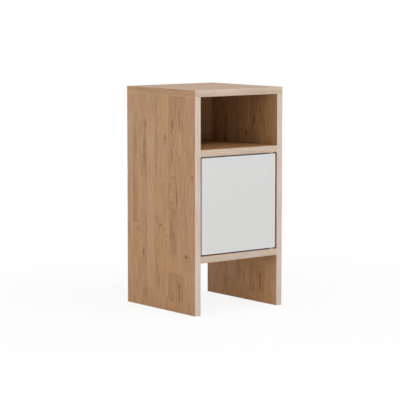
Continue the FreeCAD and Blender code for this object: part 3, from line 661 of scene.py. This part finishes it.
def round_ended_block(low, high):
    """A block with half-round ends on the X axis, as a router leaves for a hinge leaf."""
    work = bmesh.new()
    radius, middle = (high.y - low.y) / 2, (low.y + high.y) / 2
    outline = []
    for step in range(SLOT_CORNERS):
        turn = 2 * math.pi * (step + 0.5) / SLOT_CORNERS
        centre = high.x - radius if math.cos(turn) > 0 else low.x + radius
        outline.append((centre + radius * math.cos(turn), middle + radius * math.sin(turn)))
    rings = [[work.verts.new((*spot, level)) for spot in outline] for level in (low.z, high.z)]
    for here in range(SLOT_CORNERS):
        ahead = (here + 1) % SLOT_CORNERS
        work.faces.new((rings[0][here], rings[0][ahead], rings[1][ahead], rings[1][here]))
    work.faces.new(list(reversed(rings[0])))
    work.faces.new(rings[1])
    return mesh_from(work, "block")


def mottled(name, dark, light, roughness, spread, dent, rates, detail=2.0, coarseness=0.5, **constants):
    """A finish whose colour, roughness and dents follow one fine noise."""
    finish = Finish(name)
    spot = (axis * rate for axis, rate in zip((finish.across, finish.behind, finish.above), rates))
    speckle = finish.noise(*spot, detail=detail, roughness=coarseness)
    return finish.surface(
        finish.ramp(speckle, (0.3, dark), (0.7, light)), roughness + (speckle - 0.5) * spread,
        finish.bump(speckle, dent), **constants,
    )


DOOR_GREYS = paint(208, 208, 208), paint(214, 214, 214)
LEAF_ROOM = Vector((0.1 * mm, 0.1 * mm, 1 * mm))
door_low, door_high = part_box("door_edge_bands")
finish_node("door_panel", pale_board("pale_laminate", *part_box("door_panel"), *DOOR_GREYS))
ROUND_THE_DOOR = ((Z, LOW, 0), (Z, HIGH, 0), (X, LOW, 0), (X, HIGH, 0))
strips = band_strips("door_panel", "door_edge_bands", ROUND_THE_DOOR, ())
for place, end in enumerate(("lower", "upper")):
    low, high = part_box(f"{end}_pivot_leaf_on_door")
    strips[place] = cut_away(strips[place], round_ended_block(low - LEAF_ROOM, high + LEAF_ROOM))
pale_plastic = mottled(
    "pale_plastic", paint(218, 221, 224), paint(226, 229, 232), 0.36, 0.1, 0.02 * mm, (900, 900, 900),
)
piece_from(joined(strips), "door_bands", "door", [pale_plastic], "door_edge_bands")


# Dowels. Fluted pins of beech, 8 mm thick and 30 mm long, with chamfered ends. They are glued
# into bores of both boards of a joint, and keep the boards in line.

class Form(Tree):
    """A geometry node tree with named inputs for its sizes."""

    def __init__(self, name, **inputs):
        self.group = bpy.data.node_groups.new(name, "GeometryNodeTree")
        super().__init__(self.group)
        sockets = self.group.interface
        sockets.new_socket("Mesh", in_out="OUTPUT", socket_type="NodeSocketGeometry")
        sockets.new_socket("Base", in_out="INPUT", socket_type="NodeSocketGeometry")
        self.keys = {}
        for title, kind in {**inputs, "Finish": "NodeSocketMaterial"}.items():
            made = sockets.new_socket(title, in_out="INPUT", socket_type=kind)
            self.keys[title] = made.identifier
        self.given = self.group.nodes.new("NodeGroupInput")

    def size(self, title):
        """A named input of the tree."""
        return Link(self, self.given.outputs[title])

    def end(self, shape):
        """Gives the tree its result: the shape as plain mesh with its finish."""
        solid = self.node("GeometryNodeRealizeInstances", None, shape)
        self.node(
            "NodeGroupOutput", None,
            self.node("GeometryNodeSetMaterial", None, solid, Material=self.size("Finish")),
        )

    def mesh(self, base=None, **values):
        """The plain mesh that the tree makes from its inputs, and a base mesh where it needs one."""
        holder = bpy.data.objects.new("holder", base or bpy.data.meshes.new("none"))
        bpy.context.scene.collection.objects.link(holder)
        modifier = holder.modifiers.new("form", "NODES")
        modifier.node_group = self.group
        for title, value in values.items():
            modifier[self.keys[title]] = value
        graph = bpy.context.evaluated_depsgraph_get()
        made = bpy.data.meshes.new_from_object(holder.evaluated_get(graph))
        holder.modifiers.remove(modifier)
        bpy.data.objects.remove(holder)
        return made


def ribbed_rod_form():
    """A rod with ribs: a thread where they climb, or flutes where they run along it."""
    number, count = "NodeSocketFloat", "NodeSocketInt"
    form = Form(
        "ribbed_rod", Length=number, Core=number, Crest=number, RibsAlong=number,
        RibsAround=number, Taper=number, Rows=count, Columns=count,
    )
    length, core, crest = form.size("Length"), form.size("Core"), form.size("Crest")
    rows = form.size("Rows")
    skin = form.node("GeometryNodeMeshGrid", None, 1.0, 1.0, form.size("Columns"), rows)
    spot = form.node("GeometryNodeInputPosition")
    turn = form.node("ShaderNodeSeparateXYZ", None, spot, output="X") + 0.5
    rise = form.node("ShaderNodeSeparateXYZ", None, spot, output="Y") + 0.5
    height = rise * length
    phase = height * form.size("RibsAlong") - turn * form.size("RibsAround")
    ridge = form.node("ShaderNodeMath", {"operation": "PINGPONG"}, phase, 0.5) * 2
    to_end = form.node("ShaderNodeMath", {"operation": "MINIMUM"}, height, length - height)
    full = form.node("ShaderNodeMath", {"operation": "MINIMUM"}, to_end / form.size("Taper"), 1.0)
    closed = (rise * (rows - 1) > 0.5) * ((1 - rise) * (rows - 1) > 0.5)
    narrowed = (core + (crest - core) * ridge) * (full * 0.3 + 0.7) * closed
    angle = turn * (2 * math.pi)
    sideways = narrowed * form.node("ShaderNodeMath", {"operation": "COSINE"}, angle)
    forward = narrowed * form.node("ShaderNodeMath", {"operation": "SINE"}, angle)
    place = form.node("ShaderNodeCombineXYZ", None, sideways, forward, height - length / 2)
    wrapped = form.node("GeometryNodeSetPosition", None, skin, None, place)
    form.end(form.node("GeometryNodeMergeByDistance", None, wrapped, Distance=0.001 * mm))
    return form


def seated_copies_form():
    """Copies of one fitting on the points of a mesh, each turned to its point's own axis."""
    form = Form("seated_copies", Fitting="NodeSocketObject")
    fitting = form.node("GeometryNodeObjectInfo", None, form.size("Fitting"), output="Geometry")
    facing = form.node(
        "GeometryNodeInputNamedAttribute", {"data_type": "FLOAT_VECTOR"}, "facing", output="Attribute",
    )
    turn = form.node("FunctionNodeAlignRotationToVector", {"axis": "Z"}, Vector=facing)
    form.end(form.node(
        "GeometryNodeInstanceOnPoints", None, form.size("Base"), Instance=fitting, Rotation=turn,
    ))
    return form


def merged_copy(node):
    """A CAD node's mesh as one closed skin with whole faces, for a piece that replaces it."""
    work = bmesh.new()
    work.from_mesh(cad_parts[node].data)
    bmesh.ops.remove_doubles(work, verts=work.verts, dist=0.002 * mm)
    bmesh.ops.dissolve_limit(work, angle_limit=math.radians(0.5), verts=work.verts, edges=work.edges)
    return work


def solids(node):
    """The lowest and highest corner of each separate solid of a CAD node."""
    work = merged_copy(node)
    left, found = set(work.verts), []
    while left:
        reached, corners = [left.pop()], []
        while reached:
            corner = reached.pop()
            corners.append(corner.co.copy())
            for edge in corner.link_edges:
                other = edge.other_vert(corner)
                if other in left:
                    left.remove(other)
                    reached.append(other)
        low = Vector([min(place[axis] for place in corners) for axis in range(3)])
        high = Vector([max(place[axis] for place in corners) for axis in range(3)])
        found.append((low, high))
    work.free()
    return sorted(found, key=lambda box: tuple(box[0]))


def seats(node, facing):
    """A mesh with a point in the middle of each solid of a node, and the way that it faces.

    A fitting is longest on its own axis. facing gives a direction for a middle, of which the
    part on that axis counts.
    """
    places, directions = [], []
    for low, high in solids(node):
        middle, size = (low + high) / 2, high - low
        axis = max(range(3), key=lambda index: round(size[index] / mm, 2))
        direction = [0.0, 0.0, 0.0]
        direction[axis] = 1.0 if facing(middle)[axis] >= 0 else -1.0
        places.append(middle)
        directions += direction
    points = bpy.data.meshes.new(node + "_seats")
    points.from_pydata(places, [], [])
    points.attributes.new("facing", "FLOAT_VECTOR", "POINT").data.foreach_set("vector", directions)
    return points


def fitted(name, node, body, master, material, facing):
    """The piece of seated copies that stands for a CAD node of like fittings."""
    keeper = bpy.data.objects.new(name + "_master", master)
    made = seated_copies.mesh(seats(node, facing), Fitting=keeper, Finish=material)
    bpy.data.objects.remove(keeper)
    stand_in(name, made, body, node)


def inward(middle):
    """Towards the middle of the nightstand, and down."""
    return Vector((-middle.x, -middle.y, -1.0))


ribbed_rod = ribbed_rod_form()
seated_copies = seated_copies_form()
beech = mottled(
    "beech", paint(196, 158, 116), paint(222, 190, 150), 0.62, 0.2, 0.05 * mm, (900, 900, 900), detail=3.0,
)
DOWEL_LENGTH, DOWEL_RADIUS, DOWEL_GROOVE = 30 * mm, 4 * mm, 0.25 * mm
DOWEL_CHAMFER, DOWEL_FLUTES = 1 * mm, 18
JOINTS = ("top", "middle_shelf", "bottom_shelf", "back_panel")
dowel = ribbed_rod.mesh(
    Length=DOWEL_LENGTH, Core=DOWEL_RADIUS - DOWEL_GROOVE, Crest=DOWEL_RADIUS, RibsAlong=0.0,
    RibsAround=float(DOWEL_FLUTES), Taper=DOWEL_CHAMFER, Rows=34, Columns=4 * DOWEL_FLUTES + 1,
    Finish=beech,
)
for joint in JOINTS:
    fitted(f"{joint}_beech_dowels", f"{joint}_dowels", "root", dowel, beech, inward)


# Cam bolts. Bright steel bolts whose coarse thread bites in one board, while the lock in the
# other board hooks behind the small head. The collar stops on the board's face.
TURNED_CORNERS = 28


def lathe(work, profile):
    """Adds a turned skin to a mesh. The profile is (radius, height) from the lower end up."""
    rings = []
    for radius, height in profile:
        corners = 1 if radius == 0 else TURNED_CORNERS
        angles = [2 * math.pi * turn / TURNED_CORNERS for turn in range(corners)]
        rings.append([
            work.verts.new((radius * math.cos(angle), radius * math.sin(angle), height))
            for angle in angles
        ])
    for lower, upper in zip(rings, rings[1:]):
        for turn in range(TURNED_CORNERS):
            ahead = (turn + 1) % TURNED_CORNERS
            corners = [lower[turn % len(lower)], lower[ahead % len(lower)]]
            corners += [upper[ahead % len(upper)], upper[turn % len(upper)]]
            work.faces.new(list(dict.fromkeys(corners)))


def turned_steps(steps, start, ease):
    """The profile of a stepped turning from (radius, length) steps, with eased edges."""
    profile, height = [(0.0, start)], start
    for radius, length in steps:
        profile += [(radius - ease, height), (radius, height + ease)]
        height += length
        profile += [(radius, height - ease), (radius - ease, height)]
    return profile + [(0.0, height)]


def metal(name, bright, dull, roughness):
    """A metal with fine drawn lines and faint handling marks."""
    finish = Finish(name)
    lines = finish.noise(finish.across * 2600, finish.behind * 2600, finish.above * 400)
    marks = finish.noise(finish.across * 300, finish.behind * 30, finish.above * 300, detail=3.0)
    tone = lines * 0.4 + marks * 0.6
    return finish.surface(
        finish.ramp(tone, (0.35, dull), (0.65, bright)), roughness + (tone - 0.5) * 0.35,
        finish.bump(lines, 0.01 * mm), Metallic=1.0,
    )


bright_steel = metal("bright_steel", paint(206, 208, 212), paint(168, 171, 176), 0.28)
bolt_low, bolt_high = solids("middle_shelf_cam_bolts")[0]
BOLT_LENGTH = bolt_high.x - bolt_low.x
BOLT_THREAD, BOLT_CORE, BOLT_CREST, BOLT_PITCH = 11 * mm, 2.1 * mm, 2.9 * mm, 2.6 * mm
# Radius and length of the turned steps above the thread.
BOLT_COLLAR, BOLT_NECK, BOLT_HEAD = (3.8 * mm, 2 * mm), (1.7 * mm, 3 * mm), (3 * mm, 2.6 * mm)
BOLT_SHANK = (2.5 * mm, BOLT_LENGTH - BOLT_THREAD - BOLT_COLLAR[1] - BOLT_NECK[1] - BOLT_HEAD[1])
BOLT_STEPS = [BOLT_COLLAR, BOLT_SHANK, BOLT_NECK, BOLT_HEAD]
BOLT_TAPER, BOLT_EASE = 2 * mm, 0.2 * mm
work = bmesh.new()
work.from_mesh(ribbed_rod.mesh(
    Length=BOLT_THREAD, Core=BOLT_CORE, Crest=BOLT_CREST, RibsAlong=1 / BOLT_PITCH, RibsAround=1.0,
    Taper=BOLT_TAPER, Rows=52, Columns=25, Finish=bright_steel,
))
bmesh.ops.translate(work, verts=work.verts, vec=(0, 0, (BOLT_THREAD - BOLT_LENGTH) / 2))
lathe(work, turned_steps(BOLT_STEPS, BOLT_THREAD - BOLT_LENGTH / 2, BOLT_EASE))
bolt = mesh_from(work, "bolt")
for joint in JOINTS:
    fitted(f"{joint}_bolts", f"{joint}_cam_bolts", "root", bolt, bright_steel, inward)


# Cam locks. Drums of die-cast zinc in blind bores. A screwdriver in the crossed slot turns each
# one, and its cam draws in the head of the bolt.

def eased_piece(name, node, body, material, radius):
    """A CAD node's own shape with its edges eased, as the piece that stands for it."""
    work = merged_copy(node)
    round_arrises(work, radius)
    piece_from(work, name, body, [material], node)


zinc = mottled(
    "die_cast_zinc", paint(128, 130, 134), paint(172, 174, 178), 0.42, 0.4, 0.05 * mm, (500, 500, 500),
    detail=4.0, coarseness=0.7, Metallic=1.0,
)
for joint in JOINTS:
    eased_piece(f"{joint}_locks", f"{joint}_cam_locks", "root", zinc, 0.25 * mm)


# Cover caps. Thin domed discs of oak-coloured plastic. They are pressed over the locks that would
# show, two in the side panels and eight under the shelves.
cap_plastic = mottled(
    "oak_tone_plastic", paint(158, 122, 84), paint(178, 142, 102), 0.46, 0.15, 0.02 * mm, (800, 90, 800),
    Specular_IOR_Level=0.4,
)
eased_piece("cover_caps", "cam_cover_caps", "root", cap_plastic, 0.18 * mm)


# Pivot hinges. Brass leaves let in flush into the shelves and the ends of the door, steel pins
# riveted in the shelf leaves, and nylon washers that carry the door and fill its gap.
brass = metal("brass", paint(214, 178, 108), paint(180, 140, 74), 0.30)
for place, body in (("on_shelf", "root"), ("on_door", "door")):
    for end in ("lower", "upper"):
        label = f"{end}_pivot_leaf_{place}"
        eased_piece(f"{end}_leaf_{place}", label, body, brass, 0.2 * mm)
eased_piece("hinge_pins", "pivot_pins", "root", bright_steel, 0.15 * mm)
nylon = mottled(
    "nylon", paint(216, 214, 206), paint(232, 231, 225), 0.38, 0.1, 0.01 * mm, (700, 700, 700),
)
eased_piece("hinge_washers", "pivot_washers", "root", nylon, 0.3 * mm)


# Screws. Steel wood screws in two sizes, with domed heads and a crossed recess. Eight small ones
# hold the leaves of the hinges, and three larger ones the latch and its strike disc.
SCREW_PITCH, SCREW_CORE = 1.1 * mm, 0.66
DOME_STEPS, DOME_DROP = 5, 0.45
RECESS_WIDTH, RECESS_REACH, RECESS_DEPTH = 0.7 * mm, 0.55, 0.9 * mm


def wood_screw(node, crest, head_radius, head_height):
    """A screw as long as the solids of its node, with its head at the upper end."""
    low, high = solids(node)[0]
    length = max(high - low)
    shank = length - head_height
    thread = ribbed_rod.mesh(
        Length=shank, Core=crest * SCREW_CORE, Crest=crest, RibsAlong=1 / SCREW_PITCH,
        RibsAround=1.0, Taper=crest * 2, Rows=74, Columns=21, Finish=bright_steel,
    )
    work = bmesh.new()
    work.from_mesh(thread)
    bmesh.ops.translate(work, verts=work.verts, vec=(0, 0, -head_height / 2))
    seat = length / 2 - head_height
    dome = [(0.0, seat), (head_radius * 0.97, seat), (head_radius, seat + head_height * 0.2)]
    for step in range(1, DOME_STEPS + 1):
        lift = step / DOME_STEPS
        dome.append((head_radius * (1 - lift ** 3 * DOME_DROP), seat + head_height * (0.2 + 0.8 * lift)))
    dome.append((0.0, length / 2))
    head = bmesh.new()
    lathe(head, dome)
    reach = head_radius * 2 * RECESS_REACH
    cross = bmesh.new()
    for across, along in ((reach, RECESS_WIDTH), (RECESS_WIDTH, reach)):
        block = bmesh.ops.create_cube(cross, size=1.0)["verts"]
        bmesh.ops.scale(cross, verts=block, vec=(across, along, 2 * RECESS_DEPTH))
    bmesh.ops.translate(cross, verts=cross.verts, vec=(0, 0, length / 2))
    work.from_mesh(cut_away(mesh_from(head, "head"), mesh_from(cross, "cross")))
    return mesh_from(work, "screw")


DOOR_MIDDLE = (door_low.z + door_high.z) / 2
leaf_screw = wood_screw("pivot_leaf_screws_on_shelf", 1.4 * mm, 2.8 * mm, 1.6 * mm)
latch_screw = wood_screw("latch_screws", 1.6 * mm, 3.2 * mm, 1.4 * mm)


def to_door_middle(middle):
    """Up for what is below the middle of the door, and down for what is above it."""
    return Vector((0, 0, DOOR_MIDDLE - middle.z))


def from_door_middle(middle):
    """Down for what is below the middle of the door, and up for what is above it."""
    return -to_door_middle(middle)


for name, node, body, screw, facing in (
    ("shelf_leaf_screws", "pivot_leaf_screws_on_shelf", "root", leaf_screw, to_door_middle),
    ("door_leaf_screws", "pivot_leaf_screws_on_door", "door", leaf_screw, from_door_middle),
    ("latch_housing_screws", "latch_screws", "root", latch_screw, lambda middle: Vector((0, 0, -1))),
    ("strike_plate_screw", "strike_screw", "door", latch_screw, lambda middle: Vector((0, 1, 0))),
):
    fitted(name, node, body, screw, bright_steel, facing)


# Push latch. A grey plastic body under the middle shelf, with a spring behind a plunger whose
# magnet holds the steel disc on the door. A press on the door lets the plunger come forward.
grey_plastic = mottled(
    "grey_plastic", paint(150, 152, 154), paint(166, 168, 170), 0.45, 0.2, 0.03 * mm, (1500, 1500, 1500),
)
eased_piece("latch_body", "latch_housing", "root", grey_plastic, 0.6 * mm)
eased_piece("latch_push_rod", "latch_plunger", "latch_plunger", grey_plastic, 0.3 * mm)
eased_piece("latch_tip_magnet", "latch_magnet", "latch_plunger", bright_steel, 0.3 * mm)
eased_piece("strike_plate", "strike_disc", "door", bright_steel, 0.3 * mm)


def coil_form():
    """A compression spring: a wire wound along a helix."""
    number = "NodeSocketFloat"
    form = Form("coil", Turns=number, Radius=number, Length=number, Wire=number)
    path = form.node(
        "GeometryNodeCurveSpiral", None, 24, form.size("Turns"), form.size("Radius"),
        form.size("Radius"), form.size("Length"), False,
    )
    section = form.node(
        "GeometryNodeCurvePrimitiveCircle", {"mode": "RADIUS"}, 10, Radius=form.size("Wire"),
    )
    form.end(form.node("GeometryNodeCurveToMesh", None, path, section, Fill_Caps=True))
    return form


SPRING_WIRE, SPRING_PITCH = 0.8 * mm, 2.2 * mm
spring_low, spring_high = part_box("latch_spring")
spring_length = spring_high.y - spring_low.y - SPRING_WIRE
spring_radius = (spring_high.x - spring_low.x - SPRING_WIRE) / 2
wound = coil_form().mesh(
    Turns=spring_length / SPRING_PITCH, Radius=spring_radius, Length=spring_length,
    Wire=SPRING_WIRE / 2, Finish=bright_steel,
)
work = bmesh.new()
work.from_mesh(wound)
spring_middle = (spring_low + spring_high) / 2
for corner in work.verts:
    corner.co = Vector((
        spring_middle.x + corner.co.x, spring_low.y + SPRING_WIRE / 2 + corner.co.z,
        spring_middle.z - corner.co.y,
    ))
piece_from(work, "latch_coil", "root", [bright_steel], "latch_spring")


# Studio. A pale floor that turns pure white away from the nightstand, so that no horizon shows.
# Large soft lamps stand in front, on the left, above and low in front, a weaker light comes from
# all round, and a lamp behind shines through the leg space.
FLOOR_HALF = 12.0
FLOOR_WHITE, WHITE = (0.91, 0.895, 0.875, 1.0), (1.0, 1.0, 1.0, 1.0)
FLOOR_GLOW, FLOOR_FADE = 0.88, (0.25, 1.3)
FLOOR_ENDS = ((-1, -1), (1, -1), (1, 1), (-1, 1))
floor_data = bpy.data.meshes.new("floor")
corners = [(FLOOR_HALF * across, FLOOR_HALF * behind, 0) for across, behind in FLOOR_ENDS]
floor_data.from_pydata(corners, [], [(0, 1, 2, 3)])
floor = bpy.data.objects.new("floor", floor_data)
bpy.context.scene.collection.objects.link(floor)


def seen_directly(tree):
    """1 for what the camera sees, itself or in a gloss or through glass, and 0 for lighting."""
    share = 0.0
    for output in ("Is Camera Ray", "Is Glossy Ray", "Is Transmission Ray"):
        share = share + tree.node("ShaderNodeLightPath", output=output)
    return tree.node("ShaderNodeMath", {"operation": "MINIMUM"}, share, 1.0)


ground = Finish("floor_paint")
matt = ground.node("ShaderNodeBsdfDiffuse", None, FLOOR_WHITE, output="BSDF")
white = ground.node("ShaderNodeEmission", None, WHITE, 1.0, output="Emission")
away = (ground.across * ground.across + ground.behind * ground.behind) ** 0.5
whiteness = ground.smooth(away, FLOOR_FADE[0], FLOOR_FADE[1], FLOOR_GLOW, 1.0)
blended = ground.node(
    "ShaderNodeMixShader", None, seen_directly(ground) * whiteness, matt, white,
)
ground.node("ShaderNodeOutputMaterial", None, blended)
floor_data.materials.append(ground.material)

world = bpy.data.worlds.new("studio")
world.use_nodes = True
bpy.context.scene.world = world
AMBIENT = 0.30
room = Tree(world.node_tree)
glow = AMBIENT + seen_directly(room) * (1 - AMBIENT)
background = room.node("ShaderNodeBackground", None, WHITE, glow, output="Background")
room.node("ShaderNodeOutputWorld", None, background)


def soft_lamp(name, place, aim, side, watts):
    """A square soft lamp that faces a point."""
    lamp = bpy.data.lights.new(name, "AREA")
    lamp.size, lamp.energy = side, watts
    stand = bpy.data.objects.new(name, lamp)
    stand.location = place
    stand.rotation_euler = (Vector(aim) - Vector(place)).to_track_quat("-Z", "Y").to_euler()
    bpy.context.scene.collection.objects.link(stand)


MIDDLE, FOOT = (0.0, 0.0, 0.3), (0.0, 0.0, 0.1)
soft_lamp("front_lamp", (0.9, -2.2, 2.1), MIDDLE, 1.6, 31.5)
soft_lamp("left_front_lamp", (-2.4, -1.6, 0.7), MIDDLE, 1.6, 13.5)
soft_lamp("upper_lamp", (0.0, -0.5, 2.6), MIDDLE, 1.8, 21.5)
soft_lamp("left_lamp", (-2.7, -0.5, 0.5), MIDDLE, 1.6, 15)
soft_lamp("low_lamp", (-1.2, -2.4, 0.45), FOOT, 0.8, 4.5)
soft_lamp("rear_lamp", (-0.5, 2.7, 0.35), FOOT, 1.0, 64)
